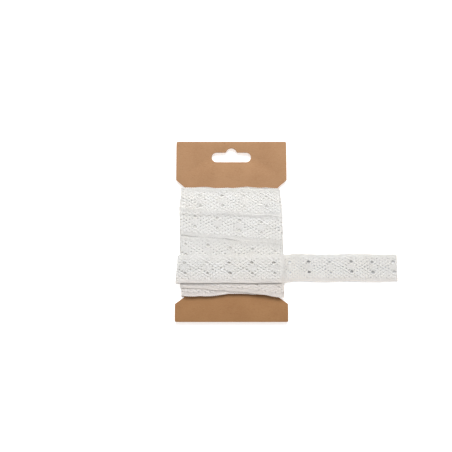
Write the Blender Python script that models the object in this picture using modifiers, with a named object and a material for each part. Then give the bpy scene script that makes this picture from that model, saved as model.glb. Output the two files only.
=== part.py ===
"""Roll of cotton lace trim on a flat kraft card bobbin, for Blender 4.5 (metres, +Z up).

The card lies on its back: +X to the right, +Y up the card towards its hang slot, +Z out of
its face. The origin is on the surface that the wound lace rests on, under the card's centre.
Three solids: the card, the wound lace round the card's neck, and the last turn, which crosses
the front of the winding and runs off to the right as a loose tail.
"""

import math

import bmesh
import bpy

# Card bobbin
CARD_WIDTH = 0.090
CARD_HEIGHT = 0.147
CARD_THICKNESS = 0.001
CARD_CORNER = 0.0012
NECK_WIDTH = 0.076
NECK_TOP = 0.0353
NECK_BOTTOM = -0.0542
HEADER_EDGE = 0.0413
FOOT_EDGE = -0.0592

# Round-ended hang slot with a raised middle
SLOT_CENTRE_Y = 0.0603
SLOT_LENGTH = 0.032
SLOT_HEIGHT = 0.008
SLOT_PEAK_RADIUS = 0.0044
SLOT_PEAK_RISE = 0.0002
SLOT_FILLET = 0.0012
ARC_STEPS = 8

# Lace and its winding
LACE_WIDTH = 0.022
LACE_THICKNESS = 0.0008
GAP = 0.0003
CORE_THICKNESS = 0.0017
CORE_TOP_LOSS = 0.0010
CORE_FOOT_LOSS = 0.0004
CORE_FALL_LENGTH = 0.018
WINDING_TOP = 0.0349
WINDING_BOTTOM = -0.0539
BORE_INSET = 0.00025
WINDING_SHIFT = -0.00055
EDGE_WAVE = 0.0003
EDGE_SOFT = 0.0024
FLAT_STEPS = 16
END_STEPS = 8
LENGTH_STEPS = 54

# One row a turn: centre of the lace at the left end, at the right end, and back at the left
TURNS = (
    # name, left_y, right_y, back_left_y
    ("first", 0.0239, 0.0222, 0.0079),
    ("second", 0.0079, -0.0005, -0.0160),
    ("third", -0.0160, -0.0228, -0.0359),
    ("fourth", -0.0359, -0.0429, -0.0310),
)

# Last turn and loose tail, as a sheet
TAIL_CENTRE_Y = -0.0310
TAIL_THICKNESS = 0.001
TAIL_END_X = 0.134
TAIL_TUCK_ANGLE = math.radians(-32)
TAIL_DROP_ANGLE = math.radians(65)
TAIL_WAVE_HEIGHT = 0.0014
TAIL_WAVE_LENGTH = 0.0385
TAIL_SIDE_WAVE = 0.0003
TAIL_SIDE_WAVE_LENGTH = 0.043
TAIL_WIDTH_STEPS = 4
TAIL_FOLD_STEPS = 8
TAIL_TOP_STEPS = 8
TAIL_DROP_STEPS = 6
TAIL_RUN_STEPS = 24

# Heights that follow from the sizes above
BORE_RADIUS = CARD_THICKNESS / 2 + GAP
REST_THICKNESS = CORE_THICKNESS + LACE_THICKNESS
CARD_MIDDLE_Z = REST_THICKNESS + BORE_RADIUS
BORE_END_X = NECK_WIDTH / 2 - BORE_INSET
MOST_THICKNESS = CORE_THICKNESS + 2 * LACE_THICKNESS
TAIL_INNER_RADIUS = BORE_RADIUS + MOST_THICKNESS + GAP
TAIL_TOP_Z = CARD_MIDDLE_Z + TAIL_INNER_RADIUS


def clear_scene():
    """Remove every object of the open file."""
    for obj in list(bpy.data.objects):
        bpy.data.objects.remove(obj, do_unlink=True)


def make_material(name, colour, roughness):
    """Return a Principled material with a plain colour."""
    material = bpy.data.materials.new(name)
    material.use_nodes = True
    shader = material.node_tree.nodes["Principled BSDF"]
    shader.inputs["Base Color"].default_value = (*colour, 1.0)
    shader.inputs["Roughness"].default_value = roughness
    shader.inputs["Metallic"].default_value = 0.0
    return material


def lerp(start, end, share):
    return start + (end - start) * share


def smooth(share):
    """Ease from 0 to 1, flat at both ends."""
    share = min(max(share, 0.0), 1.0)
    return share * share * (3 - 2 * share)


def arc(centre, radius, start_deg, end_deg, steps=ARC_STEPS):
    """Points along an arc in the XY plane, both ends included."""
    points = []
    for index in range(steps + 1):
        angle = math.radians(lerp(start_deg, end_deg, index / steps))
        points.append(
            (centre[0] + radius * math.cos(angle), centre[1] + radius * math.sin(angle))
        )
    return points


def mirrored(points):
    """The same points on the other side of the card's centre line, in reverse order."""
    return [(-x, y) for x, y in reversed(points)]


def card_outline():
    """Wide header and foot with rounded corners, and a narrower neck between chamfers."""
    side = CARD_WIDTH / 2
    top = CARD_HEIGHT / 2
    corner_x = side - CARD_CORNER
    right = arc((corner_x, CARD_CORNER - top), CARD_CORNER, -90, 0, 3)
    right += [
        (side, FOOT_EDGE),
        (NECK_WIDTH / 2, NECK_BOTTOM),
        (NECK_WIDTH / 2, NECK_TOP),
        (side, HEADER_EDGE),
    ]
    right += arc((corner_x, top - CARD_CORNER), CARD_CORNER, 0, 90, 3)
    return right + mirrored(right)


def slot_outline():
    """Long slot with round ends, and a rounded peak over its middle for the peg."""
    end_radius = SLOT_HEIGHT / 2
    bar_top = SLOT_CENTRE_Y + end_radius
    peak_y = bar_top + SLOT_PEAK_RISE
    reach = SLOT_PEAK_RADIUS + SLOT_FILLET
    climb = SLOT_FILLET - SLOT_PEAK_RISE
    fillet_x = math.sqrt(reach**2 - climb**2)
    lean = math.degrees(math.atan2(climb, fillet_x))
    right = arc((SLOT_LENGTH / 2 - end_radius, SLOT_CENTRE_Y), end_radius, -90, 90)
    right += arc((fillet_x, bar_top + SLOT_FILLET), SLOT_FILLET, -90, lean - 180, 4)
    right += arc((0.0, peak_y), SLOT_PEAK_RADIUS, lean, 90)[1:-1]
    peak = [(0.0, peak_y + SLOT_PEAK_RADIUS)]
    return right + peak + mirrored(right)


def make_card(collection, material):
    """Flat card: a 2D curve with the slot as its hole, extruded to its thickness."""
    curve = bpy.data.curves.new("card", "CURVE")
    curve.dimensions = "2D"
    curve.fill_mode = "BOTH"
    curve.extrude = CARD_THICKNESS / 2
    for outline in (card_outline(), slot_outline()):
        spline = curve.splines.new("POLY")
        spline.points.add(len(outline) - 1)
        for point, (x, y) in zip(spline.points, outline):
            point.co = (x, y, 0.0, 1.0)
        spline.use_cyclic_u = True
    curve.materials.append(material)
    card = bpy.data.objects.new("card", curve)
    card.location.z = CARD_MIDDLE_Z
    collection.objects.link(card)
    return card


def girth():
    """Places round the winding, once round from the middle of its left end.

    Each place is the x of its end's centre, the outward direction (x, z) and the progress:
    0 at the left end, 1 at the right end after the front, 2 at the left end after the back.
    """
    quarter = END_STEPS // 2
    places = []
    for step in range(quarter):
        angle = math.pi - step / quarter * math.pi / 2
        places.append((-BORE_END_X, angle))
    for step in range(FLAT_STEPS):
        places.append((lerp(-BORE_END_X, BORE_END_X, step / FLAT_STEPS), math.pi / 2))
    for step in range(END_STEPS):
        places.append((BORE_END_X, math.pi / 2 - step / END_STEPS * math.pi))
    for step in range(FLAT_STEPS):
        places.append((lerp(BORE_END_X, -BORE_END_X, step / FLAT_STEPS), -math.pi / 2))
    for step in range(quarter):
        angle = -math.pi / 2 - step / quarter * math.pi / 2
        places.append((-BORE_END_X, angle))
    found = []
    for index, (x, angle) in enumerate(places):
        progress = 2 * index / len(places)
        found.append((x, math.cos(angle), math.sin(angle), progress))
    return found


def turn_centre(turn, progress):
    """The y of a turn's middle at this progress round the card."""
    _, left_y, right_y, back_left_y = turn
    if progress <= 1:
        return lerp(left_y, right_y, progress)
    return lerp(right_y, back_left_y, progress - 1)


def core_thickness(y):
    """The layers below the top turns, thinner towards the two ends of the winding."""
    top_share = smooth(1 - (WINDING_TOP - y) / CORE_FALL_LENGTH)
    foot_share = smooth(1 - (y - WINDING_BOTTOM) / CORE_FALL_LENGTH)
    return CORE_THICKNESS - CORE_TOP_LOSS * top_share - CORE_FOOT_LOSS * foot_share


def winding_thickness(y, progress):
    """The core, and one lace thickness for each top turn that passes here."""
    thickness = core_thickness(y)
    for turn in TURNS:
        inside = LACE_WIDTH / 2 - abs(y - turn_centre(turn, progress))
        thickness += LACE_THICKNESS * smooth(inside / EDGE_SOFT + 0.5)
    return min(thickness, MOST_THICKNESS)


def edge_wave(progress):
    """How far the edges of the wound turns wander at this place, -1 to 1."""
    return math.sin(5 * math.pi * progress) * 0.6 + math.sin(9 * math.pi * progress + 1) * 0.4


def make_winding(collection, material):
    """Loft of the wound lace: rings along Y round a flat bore that clears the card's neck."""
    mesh = bmesh.new()
    places = girth()
    rings = []
    for step in range(LENGTH_STEPS + 1):
        ring = []
        for x, out_x, out_z, progress in places:
            wave = EDGE_WAVE * edge_wave(progress)
            y = lerp(WINDING_BOTTOM + wave, WINDING_TOP + wave, step / LENGTH_STEPS)
            radius = BORE_RADIUS + winding_thickness(y, progress)
            z = max(CARD_MIDDLE_Z + out_z * radius, 0.0)
            ring.append(mesh.verts.new((x + WINDING_SHIFT + out_x * radius, y, z)))
        rings.append(ring)
    bore = []
    for end, edge in ((1, WINDING_TOP), (-1, WINDING_BOTTOM)):
        ring = []
        for x, out_x, out_z, progress in places:
            y = edge + EDGE_WAVE * edge_wave(progress)
            z = CARD_MIDDLE_Z + out_z * BORE_RADIUS
            ring.append(mesh.verts.new((x + out_x * BORE_RADIUS, y, z)))
        bore.append(ring)
    rings += bore
    rings.append(rings[0])
    for ring, following in zip(rings, rings[1:]):
        for index in range(len(places)):
            after = (index + 1) % len(places)
            mesh.faces.new((ring[index], ring[after], following[after], following[index]))
    bmesh.ops.recalc_face_normals(mesh, faces=mesh.faces)
    return finish_mesh("lace_winding", mesh, collection, material)


def tail_path():
    """Inner side of the last turn in the XZ plane, from its tucked start to its cut end.

    It folds round the left end, crosses the front, follows the right end down, and
    curves out on to the surface.
    """
    left_x = WINDING_SHIFT - BORE_END_X
    right_x = WINDING_SHIFT + BORE_END_X
    path = []
    for step in range(TAIL_FOLD_STEPS):
        angle = lerp(TAIL_TUCK_ANGLE, math.pi / 2, step / TAIL_FOLD_STEPS)
        x = left_x - TAIL_INNER_RADIUS * math.cos(angle)
        path.append((x, CARD_MIDDLE_Z + TAIL_INNER_RADIUS * math.sin(angle)))
    for step in range(TAIL_TOP_STEPS):
        path.append((lerp(left_x, right_x, step / TAIL_TOP_STEPS), TAIL_TOP_Z))
    for step in range(TAIL_DROP_STEPS):
        angle = TAIL_DROP_ANGLE * step / TAIL_DROP_STEPS
        x = right_x + TAIL_INNER_RADIUS * math.sin(angle)
        path.append((x, CARD_MIDDLE_Z + TAIL_INNER_RADIUS * math.cos(angle)))
    leave_x = right_x + TAIL_INNER_RADIUS * math.sin(TAIL_DROP_ANGLE)
    leave_z = CARD_MIDDLE_Z + TAIL_INNER_RADIUS * math.cos(TAIL_DROP_ANGLE)
    sweep_radius = leave_z / (1 - math.cos(TAIL_DROP_ANGLE))
    landing_x = leave_x + sweep_radius * math.sin(TAIL_DROP_ANGLE)
    for step in range(TAIL_DROP_STEPS):
        angle = TAIL_DROP_ANGLE * (1 - step / TAIL_DROP_STEPS)
        x = landing_x - sweep_radius * math.sin(angle)
        path.append((x, sweep_radius * (1 - math.cos(angle))))
    for step in range(TAIL_RUN_STEPS + 1):
        x = lerp(landing_x, TAIL_END_X, step / TAIL_RUN_STEPS)
        path.append((x, tail_lift(x - landing_x)))
    return path


def tail_lift(distance):
    """Gentle waves of the loose tail where it lies on the surface."""
    return TAIL_WAVE_HEIGHT * (1 - math.cos(2 * math.pi * distance / TAIL_WAVE_LENGTH)) / 2


def make_tail(collection, material):
    """The last turn and the loose tail: an open strip given its thickness outwards."""
    mesh = bmesh.new()
    rows = []
    for x, z in tail_path():
        side = TAIL_SIDE_WAVE * math.sin(2 * math.pi * x / TAIL_SIDE_WAVE_LENGTH)
        row = []
        for step in range(TAIL_WIDTH_STEPS + 1):
            across = (step / TAIL_WIDTH_STEPS - 0.5) * LACE_WIDTH
            row.append(mesh.verts.new((x, TAIL_CENTRE_Y + side + across, z)))
        rows.append(row)
    for row, following in zip(rows, rows[1:]):
        for index in range(TAIL_WIDTH_STEPS):
            mesh.faces.new(
                (row[index], following[index], following[index + 1], row[index + 1])
            )
    tail = finish_mesh("lace_tail", mesh, collection, material)
    solid = tail.modifiers.new("thickness", "SOLIDIFY")
    solid.thickness = TAIL_THICKNESS
    solid.offset = 1.0
    solid.use_even_offset = True
    return tail


def finish_mesh(name, mesh, collection, material):
    """Turn a bmesh into a named, smooth shaded object in the part's collection."""
    data = bpy.data.meshes.new(name)
    mesh.to_mesh(data)
    mesh.free()
    data.shade_smooth()
    data.set_sharp_from_angle(angle=math.radians(40))
    data.materials.append(material)
    obj = bpy.data.objects.new(name, data)
    collection.objects.link(obj)
    return obj


def main():
    clear_scene()
    collection = bpy.data.collections.new("roll_of_lace_trim")
    bpy.context.scene.collection.children.link(collection)
    make_card(collection, make_material("kraft card", (0.45, 0.26, 0.14), 0.85))
    lace = make_material("wound cotton lace", (0.80, 0.78, 0.74), 0.9)
    make_winding(collection, lace)
    loose = make_material("loose cotton lace", (0.78, 0.76, 0.73), 0.9)
    make_tail(collection, loose)


main()
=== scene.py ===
"""Looks for a roll of cotton lace trim wound on a kraft card bobbin, for Blender 4.5.

The lace is worked yarn by yarn in flat coordinates, in millimetres: s along the lace, w across
it towards the card's header, and h out of its face. It is then laid round the card and, at its
loose end, out over the surface. The frame is in metres: +X to the right, +Y up the card, +Z
out of its face.
"""

import logging
import math
from dataclasses import dataclass
from enum import Enum
from functools import cached_property
from typing import Callable

import bpy
import numpy as np
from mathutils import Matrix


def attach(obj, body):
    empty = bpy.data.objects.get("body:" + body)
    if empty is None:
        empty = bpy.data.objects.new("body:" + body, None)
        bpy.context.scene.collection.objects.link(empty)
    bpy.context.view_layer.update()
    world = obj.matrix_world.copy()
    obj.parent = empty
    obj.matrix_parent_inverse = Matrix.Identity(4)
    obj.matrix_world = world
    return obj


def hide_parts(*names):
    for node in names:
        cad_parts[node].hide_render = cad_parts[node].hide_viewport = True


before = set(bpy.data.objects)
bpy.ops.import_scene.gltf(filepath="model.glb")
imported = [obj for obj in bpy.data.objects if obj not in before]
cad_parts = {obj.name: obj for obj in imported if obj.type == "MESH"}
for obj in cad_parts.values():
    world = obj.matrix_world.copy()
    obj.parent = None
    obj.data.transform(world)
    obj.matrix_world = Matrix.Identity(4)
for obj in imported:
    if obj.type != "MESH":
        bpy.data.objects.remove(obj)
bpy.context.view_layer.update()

MM = 0.001

Colour = tuple[float, float, float]
Socket = bpy.types.NodeSocket
Placing = Callable[[np.ndarray], np.ndarray]

log = logging.getLogger("lace_roll")


def linear(display: Colour) -> tuple[float, float, float, float]:
    """Turn a colour as a screen shows it into Blender's linear values.

    Args:
        display: Red, green and blue as shown, 0 to 1.

    Returns:
        Linear red, green and blue, with an alpha of 1.
    """
    channels = [c / 12.92 if c <= 0.04045 else ((c + 0.055) / 1.055) ** 2.4 for c in display]
    return (*channels, 1.0)


def ease(share: np.ndarray) -> np.ndarray:
    """Ease from 0 to 1, flat at both ends."""
    share = np.clip(share, 0.0, 1.0)
    return share * share * (3.0 - 2.0 * share)


def scatter(index: np.ndarray | float, salt: float) -> np.ndarray:
    """Repeatable random numbers from -1 to 1, one for each whole index."""
    raw = np.sin(np.asarray(index, dtype=float) * 12.9898 + salt * 78.233) * 43758.5453
    return 2.0 * (raw - np.floor(raw)) - 1.0


def deselect_all() -> None:
    """Leave nothing selected, so that an operator acts on new pieces alone."""
    bpy.ops.object.select_all(action="DESELECT")


def weld(threshold: float) -> None:
    """Join the active mesh's doubled points and turn its faces outwards.

    Args:
        threshold: How close two points lie that become one, in metres.
    """
    bpy.ops.object.mode_set(mode="EDIT")
    bpy.ops.mesh.select_all(action="SELECT")
    bpy.ops.mesh.remove_doubles(threshold=threshold)
    bpy.ops.mesh.normals_make_consistent(inside=False)
    bpy.ops.object.mode_set(mode="OBJECT")


def dress(piece: bpy.types.Object, finish: bpy.types.Material, node: str) -> None:
    """Give a piece its material and body, and hide the CAD node that it stands for."""
    piece.data.materials.append(finish)
    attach(piece, "root")
    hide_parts(node)


class ShadeTree:
    """A material's node tree, with short calls to add and join nodes."""

    def __init__(self, name: str) -> None:
        """Start a material that holds a Principled shader, and read places on the object."""
        self.material = bpy.data.materials.new(name)
        self.material.use_nodes = True
        self.nodes = self.material.node_tree.nodes
        self.links = self.material.node_tree.links
        self.place = self.add("ShaderNodeTexCoord").outputs["Object"]

    def fill(self, node: bpy.types.Node, inputs: dict) -> None:
        """Give a node's sockets their values, or link them where the value is a socket."""
        for key, value in inputs.items():
            if isinstance(value, Socket):
                self.links.new(value, node.inputs[key])
            else:
                node.inputs[key].default_value = value

    def add(self, kind: str, inputs: dict | None = None, **settings: object) -> bpy.types.Node:
        """Add a node.

        Args:
            kind: The node's Blender type.
            inputs: Values or sockets for its own sockets, by name or number.
            settings: Values for its own properties.

        Returns:
            The new node.
        """
        node = self.nodes.new(kind)
        for key, value in settings.items():
            setattr(node, key, value)
        self.fill(node, inputs or {})
        return node

    def surface(self, inputs: dict) -> bpy.types.Material:
        """Fill the shader's sockets and return the finished material."""
        self.fill(self.nodes["Principled BSDF"], inputs)
        return self.material

    def noise(self, vector: Socket, scale: float, detail: float) -> Socket:
        """Add a noise texture on a vector and return its factor."""
        inputs = {"Vector": vector, "Scale": scale, "Detail": detail}
        return self.add("ShaderNodeTexNoise", inputs).outputs["Fac"]

    def bands(self, vector: Socket, direction: str, inputs: dict) -> Socket:
        """Add waves in bands on a vector and return their factor."""
        node = self.add("ShaderNodeTexWave", inputs, wave_type="BANDS", bands_direction=direction)
        self.links.new(vector, node.inputs["Vector"])
        return node.outputs["Fac"]

    def mapped(self, vector: Socket, inputs: dict) -> Socket:
        """Turn or stretch a vector."""
        return self.add("ShaderNodeMapping", {"Vector": vector, **inputs}).outputs["Vector"]

    def part(self, vector: Socket, axis: str) -> Socket:
        """One coordinate of a vector."""
        return self.add("ShaderNodeSeparateXYZ", {0: vector}).outputs[axis]

    def math(self, operation: str, *values: Socket) -> Socket:
        """Work with one or two numbers, by Blender's name for the operation."""
        return self.add("ShaderNodeMath", dict(enumerate(values)), operation=operation).outputs[0]

    def remap(self, source: Socket, low: float, high: float,
              to_low: float = 0.0, to_high: float = 1.0) -> Socket:
        """Map a range of numbers to another one, clamped.

        Args:
            source: The numbers to map.
            low: One end of the range.
            high: Its other end.
            to_low: The result at low and beyond it.
            to_high: The result at high and beyond it.

        Returns:
            The socket with the mapped numbers.
        """
        inputs = {"Value": source, "From Min": low, "From Max": high, "To Min": to_low, "To Max": to_high}
        return self.add("ShaderNodeMapRange", inputs).outputs["Result"]

    def blend(self, factor: Socket, first: Socket | Colour, second: Socket | Colour,
              how: str = "MIX") -> Socket:
        """Mix two colours by a factor.

        Args:
            factor: The share of the second colour.
            first: A socket, or a colour as a screen shows it.
            second: A socket, or a colour as a screen shows it.
            how: Blender's name for the way of mixing.

        Returns:
            The mixed colour's socket.
        """
        pair = [value if isinstance(value, Socket) else linear(value) for value in (first, second)]
        inputs = {0: factor, 6: pair[0], 7: pair[1]}
        return self.add("ShaderNodeMix", inputs, data_type="RGBA", blend_type=how).outputs[2]

    def paint_foot_shade(self, colour: Socket, tint: Colour, span: tuple[float, float]) -> Socket:
        """Paint shade on a colour: multiply it by a darker tint towards the roll's foot, more and more
        over a span of Y.
        """
        return self.blend(self.remap(self.part(self.place, "Y"), *span), colour, tint, "MULTIPLY")

    def bump(self, height: Socket, depth: float, under: Socket | None = None) -> Socket:
        """Raise a surface by a height texture.

        Args:
            height: The texture, 0 to 1.
            depth: How high a value of 1 stands, in metres.
            under: The normal that it is added to.

        Returns:
            The new normal.
        """
        inputs = {"Height": height, "Strength": 1.0, "Distance": depth}
        if under is not None:
            inputs["Normal"] = under
        return self.add("ShaderNodeBump", inputs).outputs["Normal"]


@dataclass(frozen=True)
class CottonFinish:
    """Soft off-white cotton yarn: two plies twisted together, slightly uneven in tone."""

    light: Colour = (0.983, 0.972, 0.950)
    shade: Colour = (0.968, 0.955, 0.931)
    warm: Colour = (0.970, 0.947, 0.903)
    warm_scale: float = 26.0
    warm_most: float = 0.6
    speck: Colour = (0.80, 0.78, 0.75)
    speck_most: float = 0.06
    # Painted shade: the yarn is multiplied darker and warmer towards the roll's foot, over this span of
    # Y, where less light falls
    foot: Colour = (1.0, 0.968, 0.957)
    foot_y: tuple[float, float] = (-0.034, -0.047)
    fibre_scale: float = 9000.0
    fibre_depth: float = 0.000012
    ply_turns_per_mm: float = 0.6
    # Two plies to a turn, as the wave texture counts its bands
    ply_scale: float = 1.2566
    ply_warp: float = 0.3
    ply_depth: float = 0.00012
    roughness: float = 0.92
    sheen: float = 0.25
    specular: float = 0.2
    translucence: float = 0.55
    scatter_reach: float = 0.0006
    scatter_colour: Colour = (1.0, 0.95, 0.88)

    def material(self) -> bpy.types.Material:
        """Build the material, on the yarns' own UV map and tone attribute."""
        tree = ShadeTree("cotton yarn")
        tone = tree.add("ShaderNodeAttribute", attribute_name="tone").outputs["Fac"]
        patches = tree.noise(tree.place, self.warm_scale, 2.0)
        fibres = tree.noise(tree.place, self.fibre_scale, 3.0)
        colour = tree.blend(tone, self.shade, self.light)
        colour = tree.blend(tree.remap(patches, 0.45, 0.75, 0.0, self.warm_most), colour, self.warm)
        colour = tree.blend(tree.remap(fibres, 0.3, 0.7, self.speck_most, 0.0), colour, self.speck)
        # Painted shade towards the foot
        colour = tree.paint_foot_shade(colour, self.foot, self.foot_y)
        along = tree.add("ShaderNodeUVMap", uv_map="yarn").outputs["UV"]
        turned = tree.mapped(along, {"Scale": (self.ply_turns_per_mm, 1.0, 1.0)})
        plies = tree.bands(turned, "DIAGONAL", {"Scale": self.ply_scale, "Distortion": self.ply_warp})
        return tree.surface({
            "Base Color": colour,
            "Normal": tree.bump(fibres, self.fibre_depth, tree.bump(plies, self.ply_depth)),
            "Roughness": self.roughness,
            "Specular IOR Level": self.specular,
            "Sheen Weight": self.sheen,
            "Sheen Roughness": 0.5,
            "Subsurface Weight": self.translucence,
            "Subsurface Radius": self.scatter_colour,
            "Subsurface Scale": self.scatter_reach,
        })


@dataclass(frozen=True)
class InnerLaceFinish:
    """Lace of the inner turns, seen only through the holes and between two rows, in darker colours that
    paint their shade.
    """

    # Painted shade: both colours are darker than the cotton's, the gap colour darkest
    light: Colour = (0.85, 0.84, 0.82)
    gap_shade: Colour = (0.79, 0.78, 0.76)
    yarn_scale: float = 151.197
    warp: float = 0.6
    warp_scale: float = 400.0
    depth: float = 0.0002
    roughness: float = 0.95
    specular: float = 0.2

    def material(self) -> bpy.types.Material:
        """Build the material: crossed diagonal yarns on Object coordinates, with painted shade in the
        gaps between them.
        """
        tree = ShadeTree("inner lace")
        waves = {"Scale": self.yarn_scale, "Distortion": self.warp, "Detail Scale": self.warp_scale}
        yarns = []
        for angle in (math.radians(45), math.radians(-45)):
            turned = tree.mapped(tree.place, {"Rotation": (0.0, 0.0, angle)})
            yarns.append(tree.bands(turned, "X", waves))
        highest = tree.math("MAXIMUM", *yarns)
        return tree.surface({
            # Painted shade in the gaps between the yarns
            "Base Color": tree.blend(tree.remap(highest, 0.1, 0.6), self.gap_shade, self.light),
            "Normal": tree.bump(highest, self.depth),
            "Roughness": self.roughness,
            "Specular IOR Level": self.specular,
        })


@dataclass(frozen=True)
class FibreMarks:
    """Fibres of one size that show in the board: a stretched noise that tints it."""

    scale: float
    detail: float
    low: float
    high: float
    most: float
    tint: Colour


@dataclass(frozen=True)
class KraftFinish:
    """Brown kraft board: pressed fibres, small flecks, and a paler layered cut edge."""

    face: Colour = (0.632, 0.481, 0.347)
    deep: Colour = (0.602, 0.450, 0.318)
    cloud_scale: float = 55.0
    stretch: float = 5.0
    fine: FibreMarks = FibreMarks(900.0, 5.0, 0.35, 0.70, 0.35, (0.710, 0.574, 0.438))
    straws: FibreMarks = FibreMarks(260.0, 3.0, 0.66, 0.74, 0.40, (0.710, 0.574, 0.438))
    flecks: FibreMarks = FibreMarks(420.0, 2.0, 0.66, 0.72, 0.45, (0.474, 0.345, 0.231))
    cut: Colour = (0.615, 0.458, 0.322)
    # Painted shade: the board is multiplied darker towards its foot, over this span of Y, where less
    # light falls
    foot: Colour = (0.950, 0.915, 0.845)
    foot_y: tuple[float, float] = (-0.030, -0.056)
    # How far a face's normal stands up: the board's face, and its cut edge
    face_up: float = 0.75
    edge_up: float = 0.35
    fibre_depth: float = 0.00002
    roughness: float = 0.82
    specular: float = 0.3

    def material(self) -> bpy.types.Material:
        """Build the material on Object coordinates, with the cut edge found by its normal."""
        tree = ShadeTree("kraft board")
        long_way = tree.mapped(tree.place, {"Scale": (1.0, self.stretch, 1.0)})
        clouds = tree.remap(tree.noise(tree.place, self.cloud_scale, 4.0), 0.35, 0.65)
        colour = tree.blend(clouds, self.face, self.deep)
        layers = (self.fine, self.straws, self.flecks)
        noises = [tree.noise(long_way, marks.scale, marks.detail) for marks in layers]
        for marks, noise in zip(layers, noises):
            share = tree.remap(noise, marks.low, marks.high, 0.0, marks.most)
            colour = tree.blend(share, colour, marks.tint)
        # Painted shade towards the foot
        colour = tree.paint_foot_shade(colour, self.foot, self.foot_y)
        normal = tree.add("ShaderNodeNewGeometry").outputs["Normal"]
        facing = tree.math("ABSOLUTE", tree.part(normal, "Z"))
        edge_share = tree.remap(facing, self.edge_up, self.face_up, 1.0, 0.0)
        return tree.surface({
            "Base Color": tree.blend(edge_share, colour, self.cut),
            "Normal": tree.bump(noises[0], self.fibre_depth),
            "Roughness": self.roughness,
            "Specular IOR Level": self.specular,
        })


@dataclass(frozen=True)
class FloorFinish:
    """White studio surface, lit from within but for the strip under the loose tail, where a darker colour
    and almost no glow paint its shadow.
    """

    colour: Colour = (0.96, 0.96, 0.96)
    # Painted shadow under the loose tail: a darker colour and almost no glow
    shaded: Colour = (0.87, 0.87, 0.87)
    glow: float = 0.52
    shaded_glow: float = 0.02
    shaded_x: tuple[float, float] = (0.042, 0.1325)
    shaded_y: tuple[float, float] = (-0.0405, -0.0195)
    shade_edge: float = 0.001

    def material(self) -> bpy.types.Material:
        """Build the material, with a painted shadow inside the shaded strip."""
        tree = ShadeTree("studio white")
        shares = []
        for axis, (low, high) in (("X", self.shaded_x), ("Y", self.shaded_y)):
            at = tree.part(tree.place, axis)
            shares.append(tree.remap(at, low - self.shade_edge, low))
            shares.append(tree.remap(at, high + self.shade_edge, high))
        inside = shares[0]
        for share in shares[1:]:
            inside = tree.math("MULTIPLY", inside, share)
        return tree.surface({
            "Base Color": tree.blend(inside, self.colour, self.shaded),
            "Emission Color": (1.0, 1.0, 1.0, 1.0),
            "Emission Strength": tree.remap(inside, 0.0, 1.0, self.glow, self.shaded_glow),
            "Roughness": 1.0,
            "Specular IOR Level": 0.0,
        })


@dataclass(frozen=True)
class Wave:
    """A slow wave over the lace, which gives it the unevenness of handled cotton.

    Its rates are radians a millimetre, along the lace and across it.
    """

    along: float
    across: float = 0.0
    phase: float = 0.0
    size: float = 1.0

    def angle(self, along: np.ndarray, across: np.ndarray) -> np.ndarray:
        """The wave's angle at places on the lace."""
        return self.along * along + self.across * across + self.phase

    def height(self, along: np.ndarray, across: np.ndarray) -> np.ndarray:
        """The wave's height at places on the lace."""
        return self.size * np.sin(self.angle(along, across))


class Slant(Enum):
    """Which way a diagonal yarn runs across the lace as it goes along it."""

    RISING = 1
    FALLING = -1


class YarnKind(Enum):
    """What a yarn does in the lace, with its half width in millimetres."""

    GROUND = 0.55
    TRAIL = 0.53
    CLOTHWORK = 0.28
    CORD = 0.26
    WORKER = 0.27


HEADING_KINDS = (YarnKind.CORD, YarnKind.WORKER)


@dataclass(frozen=True)
class Yarn:
    """One yarn's middle line in flat coordinates, and its half width at each point.

    Its stray, height and tone are drawn from its index, a number of its own.
    """

    kind: YarnKind
    line: np.ndarray
    half_widths: np.ndarray
    index: float


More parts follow.
